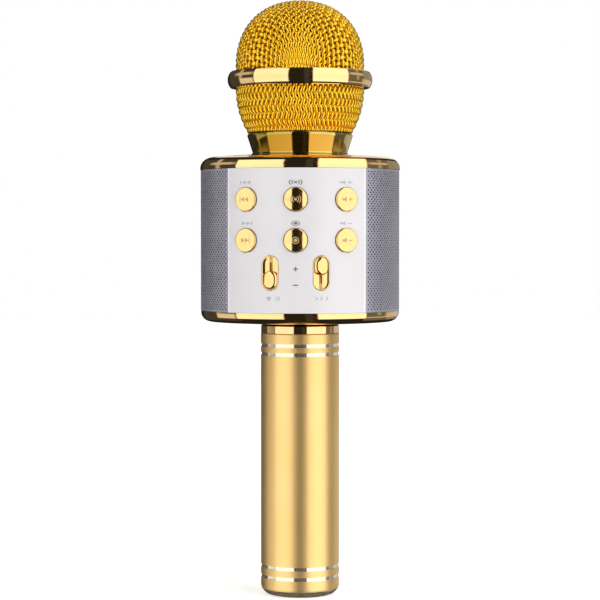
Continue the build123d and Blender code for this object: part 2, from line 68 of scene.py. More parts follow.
PANEL_OUTER = 41.3 * MM
GRILLE_START = 42.0
GRILLE_END = 159.7
KEY_ANGLE = 28.9
KEY_ROWS = (163.0 * MM, 146.75 * MM)
KEYS = (("previous", "scan", "volume_up"), ("next", "record", "volume_down"))
KEY_PLACES = [
    (sign, angle, z)
    for row, z in zip(KEYS, KEY_ROWS)
    for sign, angle in zip(row, (-KEY_ANGLE, 0.0, KEY_ANGLE))
]
KEY_TOP = 42.5 * MM
FADER_ANGLE = 14.3

# -------- node trees


class NodeTree:
    """A tree of shader nodes in the making."""

    def __init__(self, tree):
        self.tree = tree

    def node(self, kind, **settings):
        made = self.tree.nodes.new(kind)
        for key, value in settings.items():
            setattr(made, key, value)
        return made

    def feed(self, socket, value):
        """Gives a socket a number or another node's output."""
        if isinstance(value, bpy.types.NodeSocket):
            self.tree.links.new(value, socket)
        else:
            socket.default_value = value

    def calc(self, operation, *values, clamp=False):
        made = self.node("ShaderNodeMath", operation=operation, use_clamp=clamp)
        for socket, value in zip(made.inputs, values):
            self.feed(socket, value)
        return made.outputs[0]

    def band(self, value, low, high, softness):
        """1 where value lies between low and high, and 0 outside. It fades just inside both ends."""
        rise = self.calc("DIVIDE", self.calc("SUBTRACT", value, low), softness, clamp=True)
        fall = self.calc("DIVIDE", self.calc("SUBTRACT", high, value), softness, clamp=True)
        return self.calc("MULTIPLY", rise, fall)


# -------- camera, light and floor

CAMERA_DISTANCE = 0.9
CAMERA_HEIGHT = 0.150
CAMERA_AZIMUTH = 2.4
AIM_HEIGHT = 0.1219
LENS_MM = 130.4
SENSOR_MM = 36.0


def make_camera():
    """A long lens, nearly level, a little to the right of the panel's middle."""
    data = bpy.data.cameras.new("camera")
    data.lens = LENS_MM
    data.sensor_width = SENSOR_MM
    data.clip_end = 20.0
    camera = bpy.data.objects.new("camera", data)
    bpy.context.scene.collection.objects.link(camera)
    a = math.radians(CAMERA_AZIMUTH)
    camera.location = (math.sin(a) * CAMERA_DISTANCE, -math.cos(a) * CAMERA_DISTANCE, CAMERA_HEIGHT)
    aim = Vector((0, 0, AIM_HEIGHT)) - camera.location
    camera.rotation_mode = "QUATERNION"
    camera.rotation_quaternion = aim.to_track_quat("-Z", "Y")
    bpy.context.scene.camera = camera


# What the polished parts reflect, a row for each patch of light: turn from and to, lowest and highest tilt,
# brightness, and the softness of its upright edges. Turn and tilt are twice the angles, round Z from -Y and
# up from level, at which a mirror faces when it throws that light towards -Y.
SOFT_BOXES = (
    (-77.0, -15.5, -57.0, 78.0, 1.3, 1.5),
    (22.0, 86.0, -57.0, 96.0, 1.45, 1.5),
)
ROOM_PATCHES = (
    (-180.0, 180.0, 110.0, 200.0, 0.9, 24.0),
    (-150.0, -70.0, -90.0, 90.0, 0.06, 3.0),
    (80.0, 150.0, -90.0, 90.0, 0.16, 3.0),
    (-114.0, -100.0, -12.0, 90.0, 0.55, 6.0),
    (100.0, 115.0, -24.0, 90.0, 0.40, 6.0),
    (122.0, 170.0, -90.0, 90.0, 0.30, 4.0),
    (-130.0, -70.0, 20.0, 54.0, 0.60, 16.0),
    (78.0, 134.0, 20.0, 54.0, 0.62, 16.0),
    (-112.0, -76.0, -57.0, 0.0, 0.80, 4.0),
    (116.0, 170.0, -57.0, 2.0, 0.60, 8.0),
    (80.0, 165.0, -54.0, -34.0, 0.70, 8.0),
    (6.0, 20.0, -90.0, 90.0, 0.05, 4.0),
)
ROOM_DARK = 0.02
TILT_SOFTNESS = 8.0
# the soft boxes grow brighter by this share from level to this tilt, upwards and downwards
BOX_END_GAIN = 0.1
BOX_END_TILT = 30.0


def make_world():
    """White to the camera; to everything else, two soft boxes with a dark gap between them, in a dim room."""
    world = bpy.data.worlds.new("studio")
    world.use_nodes = True
    bpy.context.scene.world = world
    world.node_tree.nodes.clear()
    studio = NodeTree(world.node_tree)
    calc, node, link = studio.calc, studio.node, studio.tree.links.new
    split = node("ShaderNodeSeparateXYZ")
    link(node("ShaderNodeTexCoord").outputs["Generated"], split.inputs[0])
    x, y, z = split.outputs
    toward = calc("SUBTRACT", 1.0, y)
    reach = calc("SQRT", calc("MAXIMUM", calc("MULTIPLY", toward, 2.0), 1e-6))
    turn = calc("MULTIPLY", calc("DEGREES", calc("ARCTAN2", x, toward)), 2.0)
    tilt = calc("MULTIPLY", calc("DEGREES", calc("ARCSINE", calc("DIVIDE", z, reach))), 2.0)

    def patch(turn_from, turn_to, tilt_low, tilt_high, bright, softness):
        across = studio.band(turn, turn_from, turn_to, softness)
        upright = studio.band(tilt, tilt_low, tilt_high, TILT_SOFTNESS)
        return calc("MULTIPLY", calc("MULTIPLY", across, upright), bright)

    steep = calc("DIVIDE", calc("ABSOLUTE", tilt), BOX_END_TILT, clamp=True)
    ends = calc("MULTIPLY_ADD", steep, BOX_END_GAIN, 1.0)
    total = ROOM_DARK
    for row in SOFT_BOXES:
        total = calc("MAXIMUM", total, calc("MULTIPLY", patch(*row), ends))
    for row in ROOM_PATCHES:
        total = calc("MAXIMUM", total, patch(*row))
    light = node("ShaderNodeBackground")
    light.inputs["Color"].default_value = (1.0, 1.0, 1.0, 1.0)
    link(total, light.inputs["Strength"])
    backdrop = node("ShaderNodeBackground")
    backdrop.inputs["Color"].default_value = (1.0, 1.0, 1.0, 1.0)
    mix = node("ShaderNodeMixShader")
    link(node("ShaderNodeLightPath").outputs["Is Camera Ray"], mix.inputs[0])
    link(light.outputs[0], mix.inputs[1])
    link(backdrop.outputs[0], mix.inputs[2])
    link(mix.outputs[0], node("ShaderNodeOutputWorld").inputs["Surface"])


def fill_light(name, place, aim, size, watts):
    """A big soft lamp that lights the floor and the matt parts but shows in no reflection."""
    data = bpy.data.lights.new(name, "AREA")
    data.shape = "SQUARE"
    data.size = size
    data.energy = watts
    lamp = bpy.data.objects.new(name, data)
    bpy.context.scene.collection.objects.link(lamp)
    lamp.location = place
    lamp.rotation_mode = "QUATERNION"
    lamp.rotation_quaternion = (Vector(aim) - Vector(place)).to_track_quat("-Z", "Y")
    lamp.visible_glossy = False
    lamp.visible_camera = False


def make_lights():
    fill_light("overhead", place=(0.0, 0.1, 2.0), aim=(0, 0, 0), size=2.4, watts=9.0)
    fill_light("right_fill", place=(1.4, -1.4, 0.7), aim=(0, 0, 0.14), size=1.6, watts=9.0)


FLOOR_SIZE = 6.0
FLOOR_GLOW = 0.42


def make_floor():
    """A plain pale sweep for the microphone to stand on, left out of its mirror finishes."""
    half = FLOOR_SIZE / 2
    mesh = bpy.data.meshes.new("floor")
    corners = [(-half, -half, 0), (half, -half, 0), (half, half, 0), (-half, half, 0)]
    mesh.from_pydata(corners, [], [(0, 1, 2, 3)])
    floor = bpy.data.objects.new("floor", mesh)
    bpy.context.scene.collection.objects.link(floor)
    look = Look("floor_paper", base=(0.93, 0.93, 0.93), roughness=0.9, specular=0.1)
    look.shader.inputs["Emission Color"].default_value = (1.0, 1.0, 1.0, 1.0)
    look.shader.inputs["Emission Strength"].default_value = FLOOR_GLOW
    look.bump(look.noise(400.0), 0.0002, 0.2)
    mesh.materials.append(look.material)
    floor.visible_glossy = False


# -------- materials

SOCKETS = {
    "base": "Base Color",
    "metal": "Metallic",
    "roughness": "Roughness",
    "specular": "Specular IOR Level",
    "coat": "Coat Weight",
    "coat_roughness": "Coat Roughness",
    "sheen": "Sheen Weight",
    "sheen_roughness": "Sheen Roughness",
    "transmission": "Transmission Weight",
    "subsurface": "Subsurface Weight",
    "subsurface_scale": "Subsurface Scale",
}


class Look(NodeTree):
    """A procedural material in the making: its shader, and the nodes that feed it."""

    def __init__(self, name, **constants):
        self.material = bpy.data.materials.new(name)
        self.material.use_nodes = True
        super().__init__(self.material.node_tree)
        self.shader = self.tree.nodes["Principled BSDF"]
        for key, value in constants.items():
            if key == "base":
                value = (*value, 1.0)
            self.shader.inputs[SOCKETS[key]].default_value = value
        self.place = self.node("ShaderNodeTexCoord").outputs["Object"]

    def axes(self):
        split = self.node("ShaderNodeSeparateXYZ")
        self.feed(split.inputs[0], self.place)
        return split.outputs

    def drum_angle(self):
        """The angle round the drum in degrees, from -Y and positive towards +X."""
        x, y, _ = self.axes()
        return self.calc("DEGREES", self.calc("ARCTAN2", x, self.calc("MULTIPLY", y, -1.0)))

    def stretched(self, x=1.0, y=1.0, z=1.0):
        """The place with each axis scaled, for grain that runs one way."""
        mapping = self.node("ShaderNodeMapping")
        mapping.inputs["Scale"].default_value = (x, y, z)
        self.feed(mapping.inputs["Vector"], self.place)
        return mapping.outputs[0]

    def noise(self, scale, detail=3.0, place=None):
        made = self.node("ShaderNodeTexNoise")
        self.feed(made.inputs["Vector"], place or self.place)
        made.inputs["Scale"].default_value = scale
        made.inputs["Detail"].default_value = detail
        return made.outputs["Fac"]

    def cells(self, scale, feature="F1"):
        made = self.node("ShaderNodeTexVoronoi", feature=feature)
        self.feed(made.inputs["Vector"], self.place)
        made.inputs["Scale"].default_value = scale
        return made.outputs["Distance"]

    def ramp(self, factor, *stops):
        """Colours or grey levels at positions along factor."""
        made = self.node("ShaderNodeValToRGB")
        self.feed(made.inputs[0], factor)
        elements = made.color_ramp.elements
        while len(elements) < len(stops):
            elements.new(0.5)
        for element, (position, colour) in zip(elements, stops):
            element.position = position
            element.color = (*colour, 1.0) if isinstance(colour, tuple) else (colour, colour, colour, 1.0)
        return made.outputs[0]

    def mix(self, factor, a, b):
        made = self.node("ShaderNodeMix", data_type="RGBA")
        self.feed(made.inputs[0], factor)
        for socket, value in ((made.inputs[6], a), (made.inputs[7], b)):
            self.feed(socket, (*value, 1.0) if isinstance(value, tuple) else value)
        return made.outputs[2]

    def colour(self, value):
        self.feed(self.shader.inputs["Base Color"], value)

    def rough(self, value):
        self.feed(self.shader.inputs["Roughness"], value)

    def bump(self, height, distance, strength=1.0):
        """Raises the surface by a height, on top of any bump it already has."""
        made = self.node("ShaderNodeBump")
        made.inputs["Distance"].default_value = distance
        made.inputs["Strength"].default_value = strength
        self.feed(made.inputs["Height"], height)
        if self.shader.inputs["Normal"].is_linked:
            self.feed(made.inputs["Normal"], self.shader.inputs["Normal"].links[0].from_socket)
        self.feed(self.shader.inputs["Normal"], made.outputs[0])


def cap_gold(look):
    """The caps' colour, slightly cloudy."""
    return look.ramp(look.noise(60.0, 4.0), (0.3, (0.95, 0.62, 0.27)), (0.7, (0.97, 0.66, 0.31)))


def mirror_polish(look, clean, smeared):
    """Faint smears, as roughness from clean to smeared, and a little orange peel."""
    look.rough(look.ramp(look.noise(130.0, 5.0), (0.35, clean), (0.75, smeared)))
    look.bump(look.noise(900.0, 2.0), 0.000004, 0.35)


def plated_gold():
    """Mirror plating."""
    look = Look("plated_gold", metal=1.0)
    look.colour(cap_gold(look))
    mirror_polish(look, 0.035, 0.085)
    return look.material


# the width over which the neck's painted shade goes from darkest on the left to palest on the right
NECK_SHADE_SPAN = 40.0 * MM


def neck_gold():
    """The neck's plating, painted darker and greener than the caps', partly its own tone and partly painted
    shade, and darkest on the left, which is painted shade.
    """
    look = Look("neck_gold", metal=1.0)
    # painted shade: the colour runs from dark olive on the left to pale gold on the right across the neck
    across = look.calc("MULTIPLY_ADD", look.axes()[0], 1 / NECK_SHADE_SPAN, 0.5, clamp=True)
    tone_and_shade = look.ramp(across, (0.1, (0.34, 0.24, 0.02)), (0.9, (0.72, 0.58, 0.22)))
    look.colour(look.mix(look.noise(60.0, 4.0), tone_and_shade, (0.50, 0.37, 0.08)))
    mirror_polish(look, 0.05, 0.11)
    return look.material


# the height of the painted shade band at the top of the bezel, in the gap under the drum
BEZEL_SHADE_HEIGHT = 1.3 * MM


def bezel_gold():
    """The bezel's plating, with painted shade darkening it in the gap under the drum."""
    look = Look("bezel_gold", metal=1.0)
    # painted shade: a dark brown band at the bezel's top, where the drum shades the gap
    gap = look.band(look.axes()[2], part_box("handle_bezel")[1].z - BEZEL_SHADE_HEIGHT, 1.0, 0.2 * MM)
    look.colour(look.mix(gap, cap_gold(look), (0.14, 0.09, 0.04)))
    mirror_polish(look, 0.035, 0.085)
    return look.material


def key_gold(name="key_gold"):
    """The keys' and faders' plating, a little softer than the caps'."""
    look = Look(name, metal=1.0)
    look.colour(look.ramp(look.noise(500.0, 3.0), (0.3, (0.90, 0.60, 0.24)), (0.7, (0.94, 0.65, 0.28))))
    look.rough(look.ramp(look.noise(700.0, 4.0), (0.3, 0.07), (0.75, 0.14)))
    look.bump(look.noise(2500.0, 2.0), 0.000003, 0.4)
    return look


def pressed_key(sign, angle, height, swell):
    """A key's plating, buffed so that its face seems rounder by a radius, or flatter if swell is negative."""
    look = key_gold(f"{sign}_key_gold")
    x, y, z = look.axes()
    a = math.radians(angle)
    across = look.calc("ADD", look.calc("MULTIPLY", x, math.cos(a)), look.calc("MULTIPLY", y, math.sin(a)))
    up = look.calc("SUBTRACT", z, height)
    square = look.calc("ADD", look.calc("MULTIPLY", across, across), look.calc("MULTIPLY", up, up))
    look.bump(look.calc("MULTIPLY", square, -0.5 / swell), 1.0)
    return look.material


# half the angle over which a fader tray is matt, and its roughness elsewhere
SLIT_HALF_ANGLE = 1.0
TRAY_POLISH = 0.09


def unpolished_gold(name, centre=None):
    """Plating left matt: all over, or only in a fader slit centred at an angle round the drum."""
    look = key_gold(name)
    matt = look.calc("MULTIPLY_ADD", look.noise(4000.0, 2.0), 0.15, 0.5)
    if centre is not None:
        inside = look.band(look.drum_angle(), centre - SLIT_HALF_ANGLE, centre + SLIT_HALF_ANGLE, 0.02)
        matt = look.calc("MAXIMUM", look.calc("MULTIPLY", inside, matt), TRAY_POLISH)
    look.rough(matt)
    return look.material


GROOVE_HEIGHTS = (7.9 * MM, 12.1 * MM, 99.9 * MM, 103.5 * MM)
GROOVE_HALF = 0.75 * MM
FOOT_ROUNDING = 2.6 * MM


def grip_gold():
    """Bead-blasted and anodised, with the turned grooves and the foot's rounding cut bright."""
    look = Look("grip_gold", metal=0.9, specular=0.3)
    height = look.axes()[2]
    cut = look.band(height, -1.0 * MM, FOOT_ROUNDING, 0.12 * MM)
    for z in GROOVE_HEIGHTS:
        groove = look.band(height, z - GROOVE_HALF, z + GROOVE_HALF, 0.08 * MM)
        cut = look.calc("MAXIMUM", cut, groove)
    grain = look.noise(5200.0, 2.0)
    cloud = look.noise(45.0, 3.0)
    satin = look.ramp(cloud, (0.3, (0.97, 0.64, 0.24)), (0.7, (0.99, 0.68, 0.28)))
    look.colour(look.mix(cut, satin, (1.0, 0.86, 0.66)))
    blasted = look.calc("MULTIPLY_ADD", grain, 0.10, 0.32)
    bright = look.calc("MULTIPLY_ADD", look.noise(9000.0, 1.0, look.stretched(x=0.02, y=0.02)), 0.08, 0.06)
    fade = look.calc("SUBTRACT", 1.0, cut)
    look.rough(look.calc("ADD", look.calc("MULTIPLY", blasted, fade), look.calc("MULTIPLY", bright, cut)))
    look.bump(look.calc("MULTIPLY", grain, fade), 0.00002, 0.35)
    return look.material


def mesh_gold():
    """Gold-plated drawn wire, its colour and polish a little uneven."""
    look = Look("mesh_gold", metal=1.0)
    patch = look.noise(260.0, 3.0)
    look.colour(look.ramp(patch, (0.3, (0.88, 0.51, 0.02)), (0.7, (0.95, 0.58, 0.04))))
    look.rough(look.ramp(look.noise(1500.0, 4.0), (0.3, 0.17), (0.75, 0.32)))
    look.bump(look.noise(4200.0, 3.0), 0.00002, 0.4)
    return look.material


def grille_grey():
    """Perforated sheet, anodised blue-grey, with a fine rolled grain."""
    look = Look("grille_grey", metal=0.75, specular=0.4)
    look.colour(look.ramp(look.noise(90.0, 4.0), (0.3, (0.43, 0.42, 0.485)), (0.7, (0.50, 0.49, 0.56))))
    look.rough(look.ramp(look.noise(1400.0, 3.0, look.stretched(z=0.15)), (0.3, 0.34), (0.7, 0.5)))
    look.bump(look.noise(5000.0, 2.0), 0.00001, 0.4)
    return look.material


# the angle either side of the panel's middle where its lips begin, which are painted near-white as a
# highlight
PANEL_LIP = 41.0


def panel_white():
    """Pearl-white moulding with a fine spark texture, its lips at the sides painted near-white as a painted
    highlight.
    """
    look = Look("panel_white", specular=0.5, coat=0.25, coat_roughness=0.12)
    lip_highlight = look.band(look.calc("ABSOLUTE", look.drum_angle()), PANEL_LIP, 90.0, 0.15)
    pearl = look.ramp(look.noise(35.0, 3.0), (0.3, (0.66, 0.635, 0.65)), (0.7, (0.69, 0.665, 0.67)))
    # painted highlight: the lips take a near-white colour in place of the pearl
    look.colour(look.mix(lip_highlight, pearl, (0.92, 0.92, 0.92)))
    look.rough(look.ramp(look.noise(800.0, 3.0), (0.3, 0.30), (0.75, 0.44)))
    look.bump(look.noise(3600.0, 2.0), 0.00002, 0.5)
    return look.material


def moulded_plastic(name, dark, pale):
    """Moulded plastic with a fine spark-eroded grain."""
    look = Look(name, specular=0.45)
    look.colour(look.ramp(look.noise(120.0, 4.0), (0.3, dark), (0.72, pale)))
    look.rough(look.ramp(look.noise(900.0, 3.0), (0.3, 0.42), (0.75, 0.62)))
    look.bump(look.cells(2200.0), 0.00003, 0.5)
    return look.material


def brushed(name, dark, pale, roughness=(0.2, 0.38)):
    """Plated or bare metal with a grain that runs one way."""
    look = Look(name, metal=1.0)
    lines = look.noise(3000.0, 3.0, look.stretched(z=0.05))
    look.colour(look.ramp(lines, (0.3, dark), (0.7, pale)))
    look.rough(look.ramp(look.noise(420.0, 4.0), (0.3, roughness[0]), (0.75, roughness[1])))
    look.bump(lines, 0.00001, 0.4)
    return look.material


CLOTH_RADIUS = 40.0 * MM
# radians of weave per metre: one thread over and one under take 1.1 mm
CLOTH_WAVES = 5720.0


def woven_cloth(name, dark, pale):
    """Plain-woven acoustic cloth: over and under threads in both directions."""
    look = Look(name, specular=0.2, sheen=0.3, sheen_roughness=0.5, roughness=0.9)
    x, y, z = look.axes()
    around = look.calc("MULTIPLY", look.calc("ARCTAN2", x, look.calc("MULTIPLY", y, -1.0)), CLOTH_RADIUS)
    warp = look.calc("SINE", look.calc("MULTIPLY", around, CLOTH_WAVES))
    weft = look.calc("SINE", look.calc("MULTIPLY", z, CLOTH_WAVES))
    weave = look.calc("MULTIPLY_ADD", look.calc("MULTIPLY", warp, weft), 0.5, 0.5)
    look.colour(look.ramp(weave, (0.15, dark), (0.85, pale)))
    look.bump(weave, 0.0001, 0.8)
    return look.material


def foam_look():
    """Open-cell foam, dark amber, full of small pores."""
    look = Look("foam", roughness=0.95, specular=0.1, sheen=0.2, sheen_roughness=0.6)
    pores = look.cells(1500.0)
    look.colour(look.ramp(pores, (0.1, (0.88, 0.56, 0.05)), (0.6, (0.66, 0.40, 0.03))))
    look.bump(pores, -0.0005, 1.0)
    return look.material


def paper_cone():
    """Pressed black paper with fibres and a few pressed rings."""
    look = Look("speaker_cone", specular=0.2, roughness=0.85)
    x, y, z = look.axes()
    middle = (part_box("driver_cone_right")[0].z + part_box("driver_cone_right")[1].z) / 2
    up = look.calc("SUBTRACT", z, middle)
    radius = look.calc("SQRT", look.calc("ADD", look.calc("MULTIPLY", y, y), look.calc("MULTIPLY", up, up)))
    rings = look.calc("SINE", look.calc("MULTIPLY", radius, 2800.0))
    fibres = look.noise(2400.0, 5.0)
    look.colour(look.ramp(fibres, (0.3, (0.018, 0.018, 0.02)), (0.75, (0.06, 0.058, 0.055))))
    look.bump(rings, 0.00012, 0.5)
    look.bump(fibres, 0.00005, 0.6)
    return look.material


def circuit_board():
    """Green solder mask over copper tracks, with bare pads."""
    look = Look("circuit_board", specular=0.5, coat=0.4, coat_roughness=0.15)
    tracks = look.cells(260.0, "DISTANCE_TO_EDGE")
    copper = look.ramp(tracks, (0.035, (0.05, 0.30, 0.12)), (0.06, (0.012, 0.14, 0.05)))
    pads = look.ramp(look.cells(420.0), (0.10, 1.0), (0.13, 0.0))
    look.colour(look.mix(pads, copper, (0.62, 0.60, 0.55)))
    look.rough(look.ramp(look.noise(700.0), (0.3, 0.28), (0.7, 0.42)))
    look.bump(tracks, 0.00006, 0.4)
    return look.material


def chip_black():
    """Moulded epoxy with a fine matt speckle."""
    look = Look("chip_black", specular=0.4)
    speckle = look.noise(3000.0, 4.0)
    look.colour(look.ramp(speckle, (0.35, (0.012, 0.012, 0.013)), (0.75, (0.05, 0.05, 0.052))))
    look.rough(look.ramp(look.noise(1800.0), (0.3, 0.5), (0.7, 0.7)))
    look.bump(look.noise(5000.0, 2.0), 0.00002, 0.5)
    return look.material


def cell_wrap():
    """Blue shrink sleeve with a pale band at one end."""
    look = Look("cell_wrap", specular=0.5, coat=0.5, coat_roughness=0.1)
    low, high = (corner.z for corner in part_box("battery_cell"))
    height = look.axes()[2]
    band = look.band(height, high - 9 * MM, high - 6 * MM, 0.0001)
    film = look.ramp(look.noise(150.0, 3.0), (0.3, (0.02, 0.12, 0.36)), (0.7, (0.035, 0.17, 0.45)))
    wrapped = look.mix(band, film, (0.75, 0.76, 0.78))
    terminal = look.band(height, high - 1.15 * MM, high + 1 * MM, 0.0001)
    look.colour(look.mix(terminal, wrapped, (0.6, 0.6, 0.58)))
    look.rough(look.ramp(look.noise(350.0, 4.0), (0.3, 0.18), (0.7, 0.34)))
    look.bump(look.noise(220.0, 4.0), 0.00012, 0.3)
    return look.material


def natural_plastic():
    """Milky natural moulding."""
    look = Look("sleeve_plastic", specular=0.4, subsurface=0.3, subsurface_scale=0.002)
    look.colour(look.ramp(look.noise(160.0, 3.0), (0.3, (0.62, 0.60, 0.54)), (0.7, (0.74, 0.72, 0.67))))
    look.rough(look.ramp(look.noise(600.0), (0.3, 0.35), (0.7, 0.5)))
    look.bump(look.noise(2500.0), 0.00002, 0.3)
    return look.material


def wire_insulation():
    """Soft red insulation with faint extrusion ripple."""
    look = Look("lead_red", specular=0.4)
    look.colour(look.ramp(look.noise(500.0, 3.0), (0.3, (0.42, 0.015, 0.012)), (0.7, (0.58, 0.03, 0.02))))
    look.rough(look.ramp(look.noise(1200.0), (0.3, 0.35), (0.7, 0.55)))
    look.bump(look.noise(1800.0), 0.00004, 0.4)
    return look.material


def lens_plastic():
    """Frosted clear lens."""
    look = Look("indicator_lens", specular=0.5, transmission=0.6)
    look.colour(look.ramp(look.noise(2500.0), (0.3, (0.72, 0.80, 0.88)), (0.7, (0.85, 0.90, 0.95))))
    look.rough(look.ramp(look.noise(3000.0), (0.3, 0.15), (0.7, 0.35)))
    return look.material


def ink(name, colour, spread=0.06):
    """Pad-printed ink with slightly uneven cover."""
    look = Look(name, specular=0.4)
    paler = tuple(min(1.0, c + spread) for c in colour)
    look.colour(look.ramp(look.noise(2600.0, 3.0), (0.35, colour), (0.75, paler)))
    look.rough(look.ramp(look.noise(2000.0), (0.3, 0.45), (0.7, 0.65)))
    return look.material


MATERIALS = {
    "plated_gold": plated_gold(),
    "grip_gold": grip_gold(),
    "mesh_gold": mesh_gold(),
    "grille_grey": grille_grey(),
    "panel_white": panel_white(),
    "key_gold": key_gold().material,
    "black_plastic": moulded_plastic("black_plastic", (0.014, 0.014, 0.015), (0.035, 0.035, 0.037)),
    "speaker_cloth": woven_cloth("speaker_cloth", (0.008, 0.008, 0.009), (0.05, 0.05, 0.055)),
    "speaker_cone": paper_cone(),
    "magnet_steel": brushed("magnet_steel", (0.40, 0.40, 0.41), (0.56, 0.56, 0.57), roughness=(0.32, 0.5)),
    "circuit_board": circuit_board(),
    "chip_black": chip_black(),
    "bright_steel": brushed("bright_steel", (0.62, 0.62, 0.62), (0.78, 0.78, 0.77)),
    "foam": foam_look(),
    "capsule_metal": brushed("capsule_metal", (0.50, 0.50, 0.50), (0.66, 0.66, 0.66), roughness=(0.25, 0.4)),
    "cell_wrap": cell_wrap(),
    "sleeve_plastic": natural_plastic(),
    "lead_red": wire_insulation(),
    "indicator_lens": lens_plastic(),
}
MIDDLE_KEY_SWELL = 24.0 * MM
SIDE_KEY_SWELL = -60.0 * MM
NODE_MATERIALS = {"neck_collar": neck_gold(), "handle_bezel": bezel_gold()}
for sign, angle, z in KEY_PLACES:
    swell = SIDE_KEY_SWELL if angle else MIDDLE_KEY_SWELL
    NODE_MATERIALS[f"button_{sign}"] = pressed_key(sign, angle, z, swell)
for fader, angle in (("mic", -FADER_ANGLE), ("reverb", FADER_ANGLE)):
    NODE_MATERIALS[f"{fader}_fader_tray"] = unpolished_gold(f"{fader}_tray_gold", angle)
    NODE_MATERIALS[f"{fader}_fader_lever"] = unpolished_gold(f"{fader}_lever_gold")
PANEL_INK = ink("panel_ink", (0.13, 0.13, 0.14))
PALE_INK = ink("pale_ink", (0.40, 0.40, 0.43))
KEY_INK = ink("key_engraving", (0.52, 0.33, 0.12), 0.05)
PORT_INK = ink("port_ink", (0.62, 0.62, 0.62))


def dress_frame():
    """Gives every CAD node its material."""
    for part in frame["record"]["subparts"]:
        mesh = frame["nodes"][part["node"]].data
        mesh.materials.clear()
        mesh.materials.append(NODE_MATERIALS.get(part["node"]) or MATERIALS[part["material_slot"]])


# -------- building blocks


def add_piece(name, mesh, material, body):
    """Puts a mesh, made in the row frame, into the scene as a piece that rides on a body."""
    made = bpy.data.objects.new(name, mesh)
    bpy.context.scene.collection.objects.link(made)
    mesh.materials.append(material)
    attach(made, body)
    return made


def piece(name, points, faces, body, slot, smooth=True):
    """A piece from its points and faces, in its slot's material."""
    mesh = bpy.data.meshes.new(name)
    mesh.from_pydata([tuple(p) for p in points], [], [tuple(f) for f in faces])
    mesh.validate()
    if smooth:
        mesh.polygons.foreach_set("use_smooth", [True] * len(mesh.polygons))
    return add_piece(name, mesh, MATERIALS[slot], body)


def tubes(paths, normals, wide, thick, sides):
    """Flattened wires with closed ends along open paths. Each path has a surface normal at each point.

    Wide and thick are half the wire's width along the surface and half its thickness.
    """
    points, faces = [], []
    turn = np.linspace(0, 2 * math.pi, sides, endpoint=False)
    for path, normal in zip(paths, normals):
        along = np.gradient(path, axis=0)
        along /= np.linalg.norm(along, axis=1)[:, None]
        side = np.cross(along, normal)
        side /= np.linalg.norm(side, axis=1)[:, None]
        up = np.cross(side, along)
        first = len(points)
        rings = (
            path[:, None, :]
            + wide * np.cos(turn)[None, :, None] * side[:, None, :]
            + thick * np.sin(turn)[None, :, None] * up[:, None, :]
        )
        points.extend(rings.reshape(-1, 3))
        count = len(path)
        for k in range(count - 1):
            a = first + k * sides
            for s in range(sides):
                t = (s + 1) % sides
                faces.append((a + s, a + sides + s, a + sides + t, a + t))
        faces.append(tuple(first + s for s in range(sides)))
        last = first + (count - 1) * sides
        faces.append(tuple(last + s for s in reversed(range(sides))))
    return points, faces


# -------- woven mesh head

# a wire's half thickness, half width and sides, how far it waves either way, and the side of its cells
WIRE_RADIUS = 0.50 * MM
WIRE_WIDE = 0.86 * MM
WIRE_SIDES = 8
CRIMP = 0.48 * MM
WIRE_PITCH = 2.45 * MM
STEPS_PER_CELL = 5
WEAVE_TURN = math.radians(45.0)
# the dome's outline is a superellipse of this power over a straight skirt
FULLNESS = 2.2
DOME_CENTRE_Z = TOP_Z - 27 * MM
WIRE_SURFACE = DOME_RADIUS - WIRE_RADIUS - CRIMP
WIRE_RISE = TOP_Z - WIRE_RADIUS - CRIMP - DOME_CENTRE_Z


def dome_value(p):
    """0 on the surface that the dome's wires weave about: a full dome over a straight skirt."""
    rho = math.hypot(p[0], p[1]) / WIRE_SURFACE
    up = max(0.0, p[2] - DOME_CENTRE_Z) / WIRE_RISE
    return rho**FULLNESS + up**FULLNESS - 1


def dome_slope(p):
    """The gradient of dome_value."""
    rho = max(math.hypot(p[0], p[1]), 1e-9)
    across = FULLNESS * (rho / WIRE_SURFACE) ** (FULLNESS - 1) / WIRE_SURFACE
    up = max(0.0, p[2] - DOME_CENTRE_Z) / WIRE_RISE
    return np.array([across * p[0] / rho, across * p[1] / rho, FULLNESS * up ** (FULLNESS - 1) / WIRE_RISE])


def next_crossing(start, anchors, pitch):
    """The point on the dome one pitch from each anchor, found by Newton's method."""
    p = np.array(start, float)
    for _ in range(25):
        value = [dome_value(p)]
        slope = [dome_slope(p)]
        for anchor in anchors:
            away = p - anchor
            value.append((away @ away - pitch**2) / pitch)
            slope.append(2 * away / pitch)
        step = np.linalg.lstsq(np.array(slope), -np.array(value), rcond=None)[0]
        p = p + step
        if np.abs(step).max() < 1e-9:
            break
    return p


def dome_net():
    """Crossings of square cloth draped over the dome. Its cells keep their side and shear lower down."""
    quarter = {(0, 0): np.array([0.0, 0.0, DOME_CENTRE_Z + WIRE_RISE])}
    reach = 0
    lowest = DOME_FOOT_Z - 2 * WIRE_PITCH
    while quarter[(reach, 0)][2] > lowest:
        here = quarter[(reach, 0)]
        ahead = here - quarter[(reach - 1, 0)] if reach else np.array([WIRE_PITCH, 0, 0])
        guess = here + ahead
        found = next_crossing((guess[0], 0, guess[2]), [here], WIRE_PITCH)
        reach += 1
        quarter[(reach, 0)] = np.array([found[0], 0, found[2]])
        quarter[(0, reach)] = np.array([0, found[0], found[2]])
    for i in range(1, reach + 1):
        for j in range(1, reach + 1):
            beside, below = quarter.get((i - 1, j)), quarter.get((i, j - 1))
            corner = quarter.get((i - 1, j - 1))
            if beside is None or below is None or corner is None or corner[2] < lowest:
                continue
            quarter[(i, j)] = next_crossing(beside + below - corner, [beside, below], WIRE_PITCH)
    net = {}
    for (i, j), p in quarter.items():
        for si in (1, -1):
            for sj in (1, -1):
                net[(si * i, sj * j)] = np.array([si * p[0], sj * p[1], p[2]])
    return net


